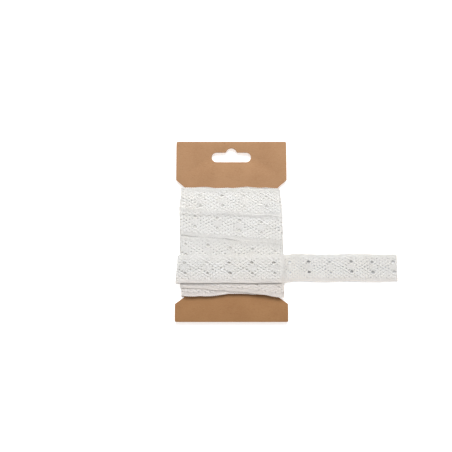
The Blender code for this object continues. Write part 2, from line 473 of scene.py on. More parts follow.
@dataclass(frozen=True)
class LacePattern:
    """Torchon lace: a ground of twisted pairs, solid diamonds ringed with holes, and headings.

    The ground is counted in half meshes: column c along the lace and row r across it. A rising
    pair keeps c - r, its lead, and a falling pair keeps c + r, its sum. Their leads and sums
    are even in the open ground. In a diamond, odd ones fill the spaces between. The two yarns
    of a pair lie side by side. Those of a trail, which rings the diamonds, twist once between
    two crossings and so leave larger holes.
    """

    width: float = 22.5
    repeat: float = 17.87
    columns: int = 8
    rows: int = 12
    row_step: float = 1.39
    ground_lift: float = 0.57
    skew: float = 0.08
    pair_spread: float = 0.25
    ground_spread: float = 0.34
    leg_spread: float = 0.36
    yarn_half_height: float = 0.115
    rise: float = 0.11
    fine_rise: float = 0.12
    diamond_sum: int = 6
    diamond_lead: int = -6
    diamond_reach: int = 2
    trail_lead: int = 6
    trail_sum: int = 2
    trail_lift: float = 0.03
    tuck: float = 0.75
    cord_insets: tuple[float, ...] = (0.35, 0.97, 1.59, 2.21, 2.83)
    heading_step: float = 0.745
    heading_rise: float = 0.12
    turn_outside: float = 0.07
    turn_inside: float = 0.3
    # The first number of the heading's cords and workers, and the step from repeat to repeat
    cord_index: int = 900
    worker_index: int = 950
    repeat_index: float = 97.0
    # Column, row, how far the yarns are pushed apart, and the reach of the push
    holes: tuple[tuple[float, float, float, float], ...] = (
        (0.0, 9.0, 1.0, 1.6),
        (0.0, 3.0, 1.05, 1.6),
        (-1.0, 4.0, 0.24, 1.0),
        (-2.0, 5.0, 0.28, 1.0),
        (-3.0, 6.0, 0.22, 1.0),
        (2.0, 5.0, 0.10, 1.0),
        (-1.0, 8.0, 0.10, 1.0),
        (4.0, 3.0, 0.14, 1.0),
        (4.0, 9.0, 0.12, 1.0),
        (3.0, 2.0, 0.16, 1.0),
        (-3.0, 10.0, 0.12, 1.0),
    )
    hole_change: float = 0.45
    wander: float = 0.10
    wander_waves: tuple[Wave, ...] = (
        Wave(0.21, 0.13),
        Wave(0.47, -0.31, 1.3, 0.7),
        Wave(0.97, 0.66, 2.9, 0.5),
    )
    wander_turn: float = 0.83
    stray: float = 0.06
    height_stray: float = 0.03
    # How far short of the cut a frayed yarn ends at most, as a share of the fray
    fray_short: float = 0.3

    @property
    def column_step(self) -> float:
        """Half a mesh of the ground along the lace, in millimetres."""
        return self.repeat / self.columns

    @property
    def foot(self) -> float:
        """Where the ground's lowest row lies, across the lace."""
        return self.ground_lift - self.rows * self.row_step / 2

    def in_diamond(self, total: int, lead: int) -> bool:
        """Whether the crossing of these two pairs lies in a solid diamond."""
        shift = self.columns * round((total + lead) / 2 / self.columns)
        total_off = total - self.diamond_sum - shift
        lead_off = lead - self.diamond_lead - shift
        return max(abs(total_off), abs(lead_off)) <= self.diamond_reach

    def strand(self, slant: Slant, line: int, side: int, kind: YarnKind) -> np.ndarray:
        """One yarn of a pair, from crossing to crossing.

        Args:
            slant: The pair's slant.
            line: Its lead if it rises, or its sum if it falls.
            side: 1 or -1, the side of the pair's line on which the yarn starts.
            kind: What the yarn does. Clothwork lies in a diamond alone.

        Returns:
            Column, row, height and half width of each point, in the order along the lace.
        """
        points = []
        last, last_woven = 0, False
        for across in range(2 * self.rows + 1):
            other = line + across - (0 if slant is Slant.RISING else 2 * self.rows)
            total, lead = (other, line) if slant is Slant.RISING else (line, other)
            woven = self.in_diamond(total, lead)
            if not woven and (kind is YarnKind.CLOTHWORK or other % 2):
                continue
            if points and not (woven and last_woven):
                twists = kind is YarnKind.TRAIL
                own = line if twists else line + side * self.leg_spread
                middle = self.grid_point(slant, own, (last + other) / 2)
                height = side * slant.value * self.rise if twists else 0.0
                points.append((*middle, height, kind.value))
                side = -side if twists else side
            rise = self.fine_rise if woven else self.rise
            half = YarnKind.CLOTHWORK.value if woven else kind.value
            spread = self.pair_spread if woven else self.ground_spread
            for partner in (-1, 1):
                place = self.grid_point(slant, line + side * spread, other + partner * spread)
                points.append((*place, side * partner * slant.value * rise, half))
            last, last_woven = other, woven
        return np.array(points)

    def grid_point(self, slant: Slant, own: float, other: float) -> tuple[float, float]:
        """The column and row where a line of this slant meets one of the other slant."""
        return (own + other) / 2, slant.value * (other - own) / 2

    def one_repeat(self) -> list[Yarn]:
        """The ground's diagonal yarns that start in one repeat, in millimetres."""
        yarns = []
        for slant in Slant:
            trail = self.trail_lead if slant is Slant.RISING else self.trail_sum
            middle = self.diamond_lead if slant is Slant.RISING else self.diamond_sum
            for side in (-1, 1):
                for line in range(0, self.columns, 2):
                    kind = YarnKind.TRAIL if line == trail else YarnKind.GROUND
                    points = self.strand(slant, line, side, kind)
                    points = self.tucked_ends(points, slant)
                    yarns.append(self.flat_yarn(kind, points, slant, line, side))
                for line in range(middle - self.diamond_reach + 1, middle + self.diamond_reach, 2):
                    points = self.strand(slant, line, side, YarnKind.CLOTHWORK)
                    points[[0, -1], 2] = -self.rise
                    yarns.append(self.flat_yarn(YarnKind.CLOTHWORK, points, slant, line, side))
        return yarns

    def tucked_ends(self, points: np.ndarray, slant: Slant) -> np.ndarray:
        """Carry a yarn on past its first and last crossing, under the headings."""
        step = np.array([self.tuck, self.tuck * slant.value, 0.0, 0.0])
        first = points[0] - step
        last = points[-1] + step
        first[2] = last[2] = -self.rise
        return np.vstack([first, points, last])

    def flat_yarn(self, kind: YarnKind, points: np.ndarray, slant: Slant, line: int, side: int) -> Yarn:
        """Turn columns and rows into millimetres.

        Args:
            kind: What the yarn does.
            points: Column, row, height and half width of each point.
            slant: The yarn's slant.
            line: Its lead or sum, for its number among the yarns.
            side: Its side of the pair, for the same.

        Returns:
            The yarn, in flat coordinates.
        """
        across = self.foot + points[:, 1] * self.row_step
        along = points[:, 0] * self.column_step - self.skew * across
        height = points[:, 2] + (self.trail_lift if kind is YarnKind.TRAIL else 0.0)
        index = line + 40 * slant.value + 0.3 * side
        return Yarn(kind, np.column_stack([along, across, height]), points[:, 3], index)

    def headings(self, start: float, end: float) -> list[Yarn]:
        """The two dense edges: cords along the lace, and a worker yarn that zigzags over them.

        Args:
            start: Where the stretch starts along the lace.
            end: Where it ends.

        Returns:
            The yarns, over the stretch and one pass more at each end.
        """
        first = math.floor(start / self.heading_step) - 1
        last = math.ceil(end / self.heading_step) + 1
        passes = np.arange(first, last + 1)
        yarns = []
        for side in (1.0, -1.0):
            for number, inset in enumerate(self.cord_insets):
                over = np.where((passes + number) % 2 == 0, -1.0, 1.0)
                across = np.full(len(passes), side * (self.width / 2 - inset))
                points = np.column_stack([passes * self.heading_step, across, over * self.heading_rise])
                widths = np.full(len(passes), YarnKind.CORD.value)
                yarns.append(Yarn(YarnKind.CORD, points, widths, self.cord_index + 10 * side + number))
            yarns.append(self.worker(passes, side))
        return yarns

    def worker(self, passes: np.ndarray, side: float) -> Yarn:
        """The yarn that goes to and fro over one heading's cords.

        Args:
            passes: The numbers of its passes.
            side: 1 for the heading towards the card's header, -1 for the other.

        Returns:
            The worker yarn.
        """
        points = []
        numbers = range(len(self.cord_insets))
        for passing in passes:
            outward = passing % 2 == 0
            for number in reversed(numbers) if outward else numbers:
                high = self.heading_rise if (passing + number) % 2 == 0 else -self.heading_rise
                across = side * (self.width / 2 - self.cord_insets[number])
                points.append((passing * self.heading_step, across, high))
            turn = self.turn_outside if outward else self.cord_insets[-1] + self.turn_inside
            points.append(((passing + 0.5) * self.heading_step, side * (self.width / 2 - turn), 0.0))
        widths = np.full(len(points), YarnKind.WORKER.value)
        return Yarn(YarnKind.WORKER, np.array(points), widths, self.worker_index + side)

    def unevenness(self, line: np.ndarray) -> np.ndarray:
        """How far handling has moved each point of the lace along and across.

        Args:
            line: Points in flat coordinates.

        Returns:
            The moves along and across, one row a point.
        """
        along, across = line[:, 0], line[:, 1]
        move = np.zeros((len(line), 2))
        for wave in self.wander_waves:
            angle = wave.angle(along, across)
            move[:, 0] += self.wander * wave.size * np.sin(angle)
            move[:, 1] += self.wander * wave.size * np.cos(angle * self.wander_turn + wave.phase)
        for number, (column, row, push, reach) in enumerate(self.holes):
            level = self.foot + row * self.row_step
            start = column * self.column_step - self.skew * level
            count = np.round((along - start) / self.repeat)
            offset_along = along - start - count * self.repeat
            offset_across = across - level
            distance = np.hypot(offset_along, offset_across) + 1e-6
            strength = push * (1.0 + self.hole_change * scatter(count, number + 3.0))
            amount = strength * np.exp(-((distance / reach) ** 2)) / distance
            move[:, 0] += amount * offset_along
            move[:, 1] += amount * offset_across
        return move

    def work(self, start: float, end: float, fray: float = 0.0) -> list[Yarn]:
        """Work a stretch of lace, cut square at both ends.

        Args:
            start: Where it starts along the lace.
            end: Where it ends.
            fray: How far single yarns stand out of the cut at the end.

        Returns:
            The yarns of the stretch, with the unevenness of handled cotton.
        """
        reach = self.rows * self.column_step + self.repeat
        first = math.floor((start - reach) / self.repeat)
        last = math.ceil((end + reach) / self.repeat)
        yarns = self.headings(start, end)
        for number in range(first, last + 1):
            shift = np.array([number * self.repeat, 0.0, 0.0])
            for yarn in self.one_repeat_yarns:
                index = yarn.index + self.repeat_index * number
                moved = yarn.line + shift
                moved[:, 0] += self.stray * scatter(index, 4.0)
                yarns.append(Yarn(yarn.kind, moved, yarn.half_widths, index))
        worked = []
        for yarn in yarns:
            stop = end + fray * max(scatter(yarn.index, 5.0), -self.fray_short)
            cut = cut_line(np.column_stack([yarn.line, yarn.half_widths]), start, stop)
            if cut is not None:
                line = cut[:, :3]
                line[:, :2] += self.unevenness(line)
                line[:, 0] = np.clip(line[:, 0], start, stop)
                line[:, 2] += self.height_stray * scatter(yarn.index, 1.0)
                worked.append(Yarn(yarn.kind, line, cut[:, 3], yarn.index))
        return worked

    @cached_property
    def one_repeat_yarns(self) -> list[Yarn]:
        """One repeat's diagonal yarns, worked out once."""
        return self.one_repeat()


def cut_line(line: np.ndarray, start: float, end: float) -> np.ndarray | None:
    """Keep the part of a yarn's middle line that lies between two cuts.

    Args:
        line: Points in flat coordinates, in order along the lace but for a worker's turns.
        start: The first cut.
        end: The second cut.

    Returns:
        The kept points, or None where fewer than two are left.
    """
    inside = (line[:, 0] > start) & (line[:, 0] < end)
    if not inside.any():
        return None
    first = int(np.argmax(inside))
    last = len(inside) - 1 - int(np.argmax(inside[::-1]))
    kept = [line[first:last + 1]]
    if first > 0:
        kept.insert(0, between(line[first - 1], line[first], start))
    if last < len(line) - 1:
        kept.append(between(line[last + 1], line[last], end))
    points = np.vstack(kept)
    return points if len(points) > 1 else None


def between(outer: np.ndarray, inner: np.ndarray, at: float) -> np.ndarray:
    """The point between two others where a cut passes, as one row."""
    run = inner[0] - outer[0]
    share = 0.5 if abs(run) < 1e-9 else (at - outer[0]) / run
    return (outer + (inner - outer) * share)[None, :]


def yarn_rings(yarn: Yarn, sides: int) -> np.ndarray:
    """The rings of points round a yarn.

    Args:
        yarn: The yarn.
        sides: How many points a ring has.

    Returns:
        Points in flat coordinates, by ring, side and coordinate.
    """
    run = np.gradient(yarn.line, axis=0)
    run /= np.linalg.norm(run, axis=1, keepdims=True) + 1e-12
    side = np.column_stack([-run[:, 1], run[:, 0], np.zeros(len(run))])
    side /= np.linalg.norm(side, axis=1, keepdims=True) + 1e-12
    up = np.cross(run, side)
    angles = np.arange(sides) * 2 * math.pi / sides
    wide = np.cos(angles)[None, :, None] * side[:, None, :] * yarn.half_widths[:, None, None]
    high = np.sin(angles)[None, :, None] * up[:, None, :] * LacePattern.yarn_half_height
    return yarn.line[:, None, :] + wide + high


def cell_corners(grid: np.ndarray) -> np.ndarray:
    """What a grid holds at the four corners of each of its cells."""
    return np.stack([grid[:-1, :-1], grid[:-1, 1:], grid[1:, 1:], grid[1:, :-1]], axis=2)


def make_yarn_object(name: str, yarns: list[Yarn], placing: Placing, sides: int) -> bpy.types.Object:
    """Join many yarns in one object, with a UV map along each and a tone of its own.

    Args:
        name: The object's name.
        yarns: The yarns, in flat coordinates.
        placing: The function that lays flat points in place, in millimetres.
        sides: How many sides a yarn has.

    Returns:
        The new object, linked to the scene.
    """
    rings = [yarn_rings(yarn, sides) for yarn in yarns]
    points = placing(np.concatenate([ring.reshape(-1, 3) for ring in rings])) * MM
    round_yarn = np.arange(sides + 1)
    corners, sizes, uvs, tones = [], [], [], []
    start = 0
    for yarn, ring in zip(yarns, rings):
        count = len(ring)
        numbers = start + sides * np.arange(count)[:, None] + round_yarn % sides
        quads = cell_corners(numbers).reshape(-1)
        corners += [quads, numbers[0, sides - 1::-1], numbers[-1, :sides]]
        sizes += [np.full(len(quads) // 4, 4), np.array([sides, sides])]
        steps = np.linalg.norm(np.diff(yarn.line, axis=0), axis=1)
        lengths = np.concatenate([[0.0], np.cumsum(steps)])
        places = np.stack(np.broadcast_arrays(lengths[:, None], round_yarn / sides), axis=2)
        uvs += [cell_corners(places).reshape(-1, 2), np.zeros((2 * sides, 2))]
        tones.append(np.full(count * sides, 0.5 + 0.5 * scatter(yarn.index, 2.0)))
        start += count * sides
    corners, sizes, uvs, tones = (np.concatenate(part) for part in (corners, sizes, uvs, tones))
    return mesh_object(name, points, corners, sizes, uvs, tones)


def mesh_object(name: str, points: np.ndarray, corners: np.ndarray, sizes: np.ndarray,
                uvs: np.ndarray, tones: np.ndarray) -> bpy.types.Object:
    """Make a smooth mesh object from arrays.

    Args:
        name: The object's name.
        points: The vertices, in metres.
        corners: The faces' corners, one face after another.
        sizes: How many corners each face has.
        uvs: A UV place for each corner.
        tones: A tone for each vertex, 0 to 1.

    Returns:
        The new object, linked to the scene.
    """
    mesh = bpy.data.meshes.new(name)
    mesh.vertices.add(len(points))
    mesh.vertices.foreach_set("co", points.astype(np.float32).ravel())
    mesh.loops.add(len(corners))
    mesh.loops.foreach_set("vertex_index", corners.astype(np.int32))
    mesh.polygons.add(len(sizes))
    firsts = np.concatenate([[0], np.cumsum(sizes)])[:-1]
    mesh.polygons.foreach_set("loop_start", firsts.astype(np.int32))
    mesh.update(calc_edges=True)
    mesh.uv_layers.new(name="yarn").data.foreach_set("uv", uvs.astype(np.float32).ravel())
    tone = mesh.attributes.new("tone", "FLOAT", "POINT")
    tone.data.foreach_set("value", tones.astype(np.float32))
    mesh.validate()
    mesh.shade_smooth()
    obj = bpy.data.objects.new(name, mesh)
    bpy.context.scene.collection.objects.link(obj)
    return obj


@dataclass(frozen=True)
class WoundForm:
    """How the lace goes round the card, in millimetres: a flat loop with half round ends.

    A place on the loop is its girth: 0 at the middle of the left end, and then along the
    front, the right end and the back. The last few turns are one lace, whose run is its girth
    counted on from turn to turn, and 0 where the first row that shows starts.
    """

    bore_end_x: float = 38.1
    bore_radius: float = 0.8
    shift_x: float = 0.05
    lean_x: float = 0.016
    level_y: float = -8.0
    middle_z: float = 3.3
    middle_radius: float = 2.9
    layer: float = 0.56
    core: float = 2.35
    core_top_loss: float = 1.35
    core_foot_loss: float = 0.3
    core_fall: float = 18.0
    top: float = 34.9
    bottom: float = -53.9
    # The greatest height of the winding over the bore, on the front and on the back
    most_front: float = 3.75
    most_back: float = 2.5
    # How much of its half thickness the lace loses where it is pressed on the card
    press: float = 0.1
    edge_soft: float = 2.4
    start_soft: float = 4.0
    top_ring_y: float = 23.5
    low_ring_y: float = -42.1
    # The lace's middle at each end of the card, by half turns from the start of its run
    half_turn_y: tuple[float, ...] = (
        23.5, 23.5, 23.3, 21.9, 7.5, -0.8, -15.8, -22.9, -35.5, -43.4, -31.7,
    )
    last_bow: float = 1.3
    # Where a pattern repeat starts on each row that shows, by whole turns after the first
    repeat_x: tuple[float, ...] = (-6.85, 6.53, -1.10)
    tail_repeat_x: float = -1.93
    corner_blend: float = 7.0
    table_step: float = 0.5
    pucker: float = 0.09
    pucker_waves: tuple[Wave, Wave] = (Wave(0.143, 0.19), Wave(0.061, phase=1.0))
    sway: float = 0.3
    sway_waves: tuple[Wave, Wave] = (Wave(0.157, phase=0.6), Wave(0.371, 0.05, size=0.6))
    arch_x: tuple[float, float] = (-19.5, -2.5)
    arch_rise: float = 1.8
    arch_fall: float = 30.0
    # Height in millimetres, waves to a turn and phase of the foot edge's unevenness
    foot_waves: tuple[tuple[float, int, float], ...] = ((0.15, 7, 2.0), (0.09, 13, 0.8))
    # How soon the lace counts as lying on the back, as it goes round an end
    back_turn: float = 0.65

    @property
    def end_arc(self) -> float:
        """The length of half a turn round one end."""
        return math.pi * self.middle_radius

    @property
    def loop(self) -> float:
        """The girth of one whole turn."""
        return 4 * self.bore_end_x + 2 * self.end_arc

    @property
    def last_run(self) -> float:
        """Where the wound lace ends: on the back, at the start of the left end."""
        return 4 * self.loop - self.end_arc / 2

    def front_girth(self, x: float) -> float:
        """The girth of a place on the front, by its x."""
        return self.end_arc / 2 + x - self.shift_x + self.bore_end_x

    @cached_property
    def runs(self) -> np.ndarray:
        """Runs of the lace at which its middle line is worked out."""
        return np.arange(-self.loop, self.last_run + self.table_step, self.table_step)

    @cached_property
    def middles(self) -> np.ndarray:
        """The y of the lace's middle at each of the runs, its corners eased."""
        knots = (np.arange(len(self.half_turn_y)) / 2 - 1) * self.loop
        knots[-1] = self.last_run - self.corner_blend
        window = int(self.corner_blend / self.table_step)
        wide = np.concatenate([
            self.runs[0] + self.table_step * np.arange(-window, 0),
            self.runs,
            self.runs[-1] + self.table_step * np.arange(1, window + 1),
        ])
        straight = np.interp(wide, knots, self.half_turn_y)
        across = np.clip(wide / self.loop - 3.0, 0.0, 0.5)
        straight += self.last_bow * np.sin(across * 2 * math.pi)
        kernel = np.hanning(2 * window + 3)[1:-1]
        return np.convolve(straight, kernel / kernel.sum(), mode="valid")

    def middle_y(self, run: np.ndarray) -> np.ndarray:
        """The y of the lace's middle at any run."""
        return np.interp(run, self.runs, self.middles)

    def slope(self, run: np.ndarray) -> np.ndarray:
        """How steeply the lace's middle line runs up the card."""
        return self.middle_y(run + 0.5) - self.middle_y(run - 0.5)

    @cached_property
    def stations(self) -> np.ndarray:
        """The lace's own length at each of the runs, so that its holes fall where they show.

        The pull that fits the pattern to each row is taken up on the back.
        """
        steps = np.hypot(np.diff(self.runs), np.diff(self.middles))
        natural = np.concatenate([[0.0], np.cumsum(steps)])
        repeat = LacePattern.repeat
        pulls, pull = [], 0.0
        for turn, x in enumerate(self.repeat_x):
            at = np.interp(turn * self.loop + self.front_girth(x), self.runs, natural)
            pull = pull + nearest_turn(-at - pull, repeat)
            pulls.append(pull)
        tail = TailPath()
        at = natural[-1] + tail.length_at(self.tail_repeat_x)
        last = pull + nearest_turn(-at - pull, repeat)
        front_pulls = [pulls[0], *pulls, (pulls[-1] + last) / 2]
        knots, values = [], []
        for number, value in enumerate(front_pulls):
            start = (number - 1) * self.loop
            knots += [start + self.end_arc / 2, start + self.loop / 2]
            values += [value, value]
        knots.append(self.last_run)
        values.append(last)
        return natural + np.interp(self.runs, knots, values)

    def run_at(self, station: np.ndarray) -> np.ndarray:
        """The run at which a length of lace lies."""
        return np.interp(station, self.stations, self.runs)

    def station_at(self, run: float) -> float:
        """The length of lace at a run."""
        return float(np.interp(run, self.runs, self.stations))

    def cover(self, y: np.ndarray, middle: np.ndarray | float) -> np.ndarray:
        """How much of a layer lies at y, from 0 to 1, for lace with this middle."""
        inside = LacePattern.width / 2 - np.abs(y - middle)
        return ease(inside / self.edge_soft + 0.5)

    def core_height(self, y: np.ndarray) -> np.ndarray:
        """The inner turns' thickness, less towards the winding's two ends."""
        top_share = ease(1.0 - (self.top - y) / self.core_fall)
        foot_share = ease(1.0 - (y - self.bottom) / self.core_fall)
        return self.core - self.core_top_loss * top_share - self.core_foot_loss * foot_share

    def base_height(self, y: np.ndarray) -> np.ndarray:
        """What lies under the level turns at the top and the foot of the winding."""
        rings = self.cover(y, self.top_ring_y) + self.cover(y, self.low_ring_y)
        return self.core_height(y) - self.layer * rings

    def lace_height(self, run: np.ndarray, y: np.ndarray, back: np.ndarray) -> np.ndarray:
        """How high the lace's middle lies over the bore, on the turns before it.

        Args:
            run: Each point's run.
            y: Each point's y.
            back: 1 on the back, where the roll lies pressed on the surface, 0 on the front.

        Returns:
            The height of the lace's middle over the bore.
        """
        below = self.cover(y, self.low_ring_y)
        above = np.zeros_like(y)
        for turns in range(1, len(self.half_turn_y) // 2 + 1):
            before = run - turns * self.loop
            started = ease((before + self.loop) / self.start_soft + 0.5)
            below = below + started * self.cover(y, self.middle_y(before))
            after = run + turns * self.loop
            above = above + (after < self.last_run) * self.cover(y, self.middle_y(after))
        natural = self.base_height(y) + self.layer * (below + 0.5)
        most = self.most_front + (self.most_back - self.most_front) * back
        limit = most - self.layer * (above + 0.5)
        return np.maximum(np.minimum(natural, limit), self.layer / 2 - self.press)

    def on_loop(self, girth: np.ndarray, y: np.ndarray, height: np.ndarray) -> np.ndarray:
        """Lay points round the card.

        Args:
            girth: Each point's place round the loop.
            y: Each point's y.
            height: Each point's height over the bore.

        Returns:
            The points, in millimetres.
        """
        end_x, angle = self.loop_place(girth)
        radius = self.bore_radius + height
        x = end_x + np.cos(angle) * radius + self.shift_x + self.lean_x * (self.level_y - y)
        return np.column_stack([x, y, self.middle_z + np.sin(angle) * radius])

    def loop_place(self, girth: np.ndarray) -> tuple[np.ndarray, np.ndarray]:
        """Where on the flat loop a girth lies.

        Args:
            girth: Places round the loop, on any turn.

        Returns:
            The x on the flat part or of the end's centre, and the outward angle.
        """
        girth = np.mod(girth, self.loop)
        quarter = self.end_arc / 2
        flat = 2 * self.bore_end_x
        marks = [0.0, quarter, quarter + flat, 3 * quarter + flat, 3 * quarter + 2 * flat, self.loop]
        ends = np.array([-1, -1, 1, 1, -1, -1]) * self.bore_end_x
        angles = np.array([1.0, 0.5, 0.5, -0.5, -0.5, -1.0]) * math.pi
        return np.interp(girth, marks, ends), np.interp(girth, marks, angles)

    def place_lace(self, flat: np.ndarray) -> np.ndarray:
        """Lay flat points of the lace round the card.

        Args:
            flat: Points along, across and out of the lace.

        Returns:
            The points, in millimetres.
        """
        run = self.run_at(flat[:, 0])
        lean = np.arctan(self.slope(run))
        moved = run - flat[:, 1] * np.sin(lean)
        y = self.middle_y(run) + flat[:, 1] * np.cos(lean)
        _, angle = self.loop_place(moved)
        back = ease(0.5 - self.back_turn * np.sin(angle))
        height = self.lace_height(moved, y, back) + flat[:, 2]
        first, second = (wave.height(run, flat[:, 1]) for wave in self.pucker_waves)
        height += self.pucker * (first * second + 1.0) * (1.0 - back)
        sway = sum(wave.height(run, flat[:, 1]) for wave in self.sway_waves)
        return self.on_loop(moved, y + self.sway * sway, height)

    def foot_arch(self, girth: np.ndarray) -> np.ndarray:
        """How far the winding's foot edge stands up: an arch over the front's middle, and waves."""
        on_front = np.mod(girth, self.loop)
        left, right = self.arch_x
        rise = ease((on_front - self.front_girth(left)) / (right - left))
        rise = rise * ease((self.loop / 2 + self.arch_fall - on_front) / self.arch_fall)
        waves = [high * np.sin(girth * 2 * math.pi * count / self.loop + phase)
                 for high, count, phase in self.foot_waves]
        return self.arch_rise * rise + sum(waves)

    @property
    def low_length(self) -> float:
        """How much lace the level turn takes, so that its headings close on themselves."""
        step = LacePattern.heading_step
        return 2 * round(self.loop / step / 2) * step

    def place_low_ring(self, flat: np.ndarray) -> np.ndarray:
        """Lay flat points of the level turn at the winding's foot.

        Args:
            flat: Points along, across and out of the lace.

        Returns:
            The points, in millimetres.
        """
        girth = flat[:, 0] * self.loop / self.low_length
        y = self.low_ring_y + flat[:, 1] + self.foot_arch(girth)
        height = self.base_height(y) + self.layer / 2 + flat[:, 2]
        return self.on_loop(girth, y, height)


def nearest_turn(amount: float, repeat: float) -> float:
    """The smallest pull that brings the pattern to a whole repeat."""
    return amount - repeat * round(amount / repeat)


@dataclass(frozen=True)
class TailPath:
    """The loose end's way: round the left fold, over the front, and down on to the surface."""

    left_x: float = -38.3
    right_x: float = 37.2
    back_z: float = 0.42
    front_z: float = 7.95
    middle_y: float = -31.7
    far_lift: float = 1.5
    fold_reach_top: float = 4.8
    fold_reach_foot: float = 6.5
    end_middle_z: float = 3.3
    drop_angle: float = math.radians(68)
    landing_z: float = 0.45
    end_x: float = 133.0
    wave_height: float = 1.3
    wave_length: float = 38.5
    side_wave: float = 0.3
    side_wave_length: float = 43.0
    slack: float = 4.4
    slack_start_x: float = 34.0
    slack_end_x: float = 62.0
    run_ease: float = 0.050
    steps: int = 60
    overrun: float = 5.0
    look_ahead: float = 0.2
    loose_ease: float = 15.0
    ripple: float = 0.25
    ripple_wave: Wave = Wave(0.21, 0.12)

    def line(self, fold_reach: float) -> np.ndarray:
        """The way in x and z, for one line across the lace.

        Args:
            fold_reach: How far the fold stands out to the left.

        Returns:
            Points in order, in millimetres.
        """
        half = (self.front_z - self.back_z) / 2
        fold = self.bend((self.left_x, self.back_z + half), fold_reach, half, -math.pi, 0.0)
        across = np.linspace(self.left_x, self.right_x, self.steps, endpoint=False)
        front = np.column_stack([across, np.full(self.steps, self.front_z)])
        radius = self.front_z - self.end_middle_z
        shoulder = self.bend((self.right_x, self.end_middle_z), radius, radius, 0.0, self.drop_angle)
        leave_z = self.end_middle_z + radius * math.cos(self.drop_angle)
        sweep = (leave_z - self.landing_z) / (1 - math.cos(self.drop_angle))
        land_x = self.right_x + (radius + sweep) * math.sin(self.drop_angle)
        drop = self.bend((land_x, self.landing_z + sweep), -sweep, -sweep, self.drop_angle, 0.0)
        far = np.linspace(land_x, self.end_x + self.overrun, 4 * self.steps)
        rise = self.wave_height * (1 - np.cos((far - land_x) * 2 * math.pi / self.wave_length)) / 2
        loose = np.column_stack([far, self.landing_z + rise])
        return np.vstack([fold, front, shoulder, drop, loose])

    def bend(self, centre: tuple[float, float], wide: float, high: float,
             first: float, last: float) -> np.ndarray:
        """A part of an oval in x and z, without its last point.

        Args:
            centre: The oval's centre.
            wide: Half its width.
            high: Half its height.
            first: The angle where the part starts, 0 straight above the centre.
            last: The angle where it ends.

        Returns:
            The points, in order.
        """
        angles = np.linspace(first, last, self.steps, endpoint=False)
        return np.column_stack([centre[0] + wide * np.sin(angles), centre[1] + high * np.cos(angles)])

    @cached_property
    def top_line(self) -> np.ndarray:
        """The way of the edge towards the card's header."""
        return self.line(self.fold_reach_top)

    @cached_property
    def foot_line(self) -> np.ndarray:
        """The way of the edge towards the card's foot."""
        return self.line(self.fold_reach_foot)

    @cached_property
    def lengths(self) -> np.ndarray:
        """The lace's own length at each point of the way."""
        middle = (self.top_line + self.foot_line) / 2
        steps = np.linalg.norm(np.diff(middle, axis=0), axis=1)
        natural = np.concatenate([[0.0], np.cumsum(steps)])
        x = middle[:, 0]
        after_front = natural > natural[2 * self.steps]
        taken = self.slack * ease((x - self.slack_start_x) / (self.slack_end_x - self.slack_start_x))
        run = self.run_ease * np.maximum(x - self.slack_end_x, 0.0)
        return natural + np.where(after_front | (x > self.slack_start_x), taken + run, 0.0)

    def length_at(self, x: float) -> float:
        """The lace's length from the start of the fold to an x on the front or beyond."""
        middle = (self.top_line + self.foot_line) / 2
        return float(np.interp(x, middle[self.steps:, 0], self.lengths[self.steps:]))

    def spot(self, length: np.ndarray, share: np.ndarray) -> np.ndarray:
        """The x and z of places on the way.

        Args:
            length: The lace's length to each place.
            share: How far across it lies, 0 on the foot line and 1 on the top line.

        Returns:
            One row a place.
        """
        rows = []
        for axis in (0, 1):
            low = np.interp(length, self.lengths, self.foot_line[:, axis])
            high = np.interp(length, self.lengths, self.top_line[:, axis])
            rows.append(low + (high - low) * share)
        return np.column_stack(rows)

    def place(self, start: float) -> Placing:
        """Make the function that lays flat points along the way.

        Args:
            start: The length of lace at which the fold starts.

        Returns:
            The function.
        """
        def lay(flat: np.ndarray) -> np.ndarray:
            at = flat[:, 0] - start
            share = np.clip(0.5 + flat[:, 1] / LacePattern.width, 0.0, 1.0)
            spot = self.spot(at, share)
            run = self.spot(at + self.look_ahead, share) - spot
            run /= np.linalg.norm(run, axis=1, keepdims=True) + 1e-9
            x = spot[:, 0] - run[:, 1] * flat[:, 2]
            z = spot[:, 1] + run[:, 0] * flat[:, 2]
            loose = ease((spot[:, 0] - self.right_x) / self.loose_ease)
            side = self.side_wave * np.sin(spot[:, 0] * 2 * math.pi / self.side_wave_length)
            y = self.middle_y + (side + self.far_lift) * loose + flat[:, 1]
            ripple = self.ripple * (1.0 + self.ripple_wave.height(spot[:, 0], flat[:, 1]))
            return np.column_stack([x, y, z + loose * ripple])
        return lay


@dataclass(frozen=True)
class WoundTurns:
    """The lace's last turns round the card, one piece a turn, and the level turn at the foot."""

    form: WoundForm = WoundForm()
    pattern: LacePattern = LacePattern()
    names: tuple[str, ...] = (
        "turn_under_first", "turn_first", "turn_second", "turn_third", "turn_fourth",
    )
    sides: int = 6
    hidden_sides: int = 4
    # Yarns of the level turn that stay above this lie hidden under the next turns
    low_strip_y: float = -8.5

    def build(self, finish: bpy.types.Material) -> list[bpy.types.Object]:
        """Make every turn.

        Args:
            finish: The yarn's material.

        Returns:
            The turns, from the inside out.
        """
        turns = [self.low_turn()]
        for number, name in enumerate(self.names):
            start = self.form.station_at((number - 1) * self.form.loop)
            end = self.form.station_at(min(number * self.form.loop, self.form.last_run))
            sides = self.sides if number else self.hidden_sides
            yarns = self.pattern.work(start, end)
            turns.append(make_yarn_object(name, yarns, self.form.place_lace, sides))
        for turn in turns:
            dress(turn, finish, "lace_winding")
        return turns

    def low_turn(self) -> bpy.types.Object:
        """Make the level turn at the winding's foot, closed on itself."""
        yarns = self.pattern.work(0.0, self.form.low_length)
        yarns = [yarn for yarn in yarns if yarn.line[:, 1].min() < self.low_strip_y]
        return make_yarn_object("turn_lowest", yarns, self.form.place_low_ring, self.sides)


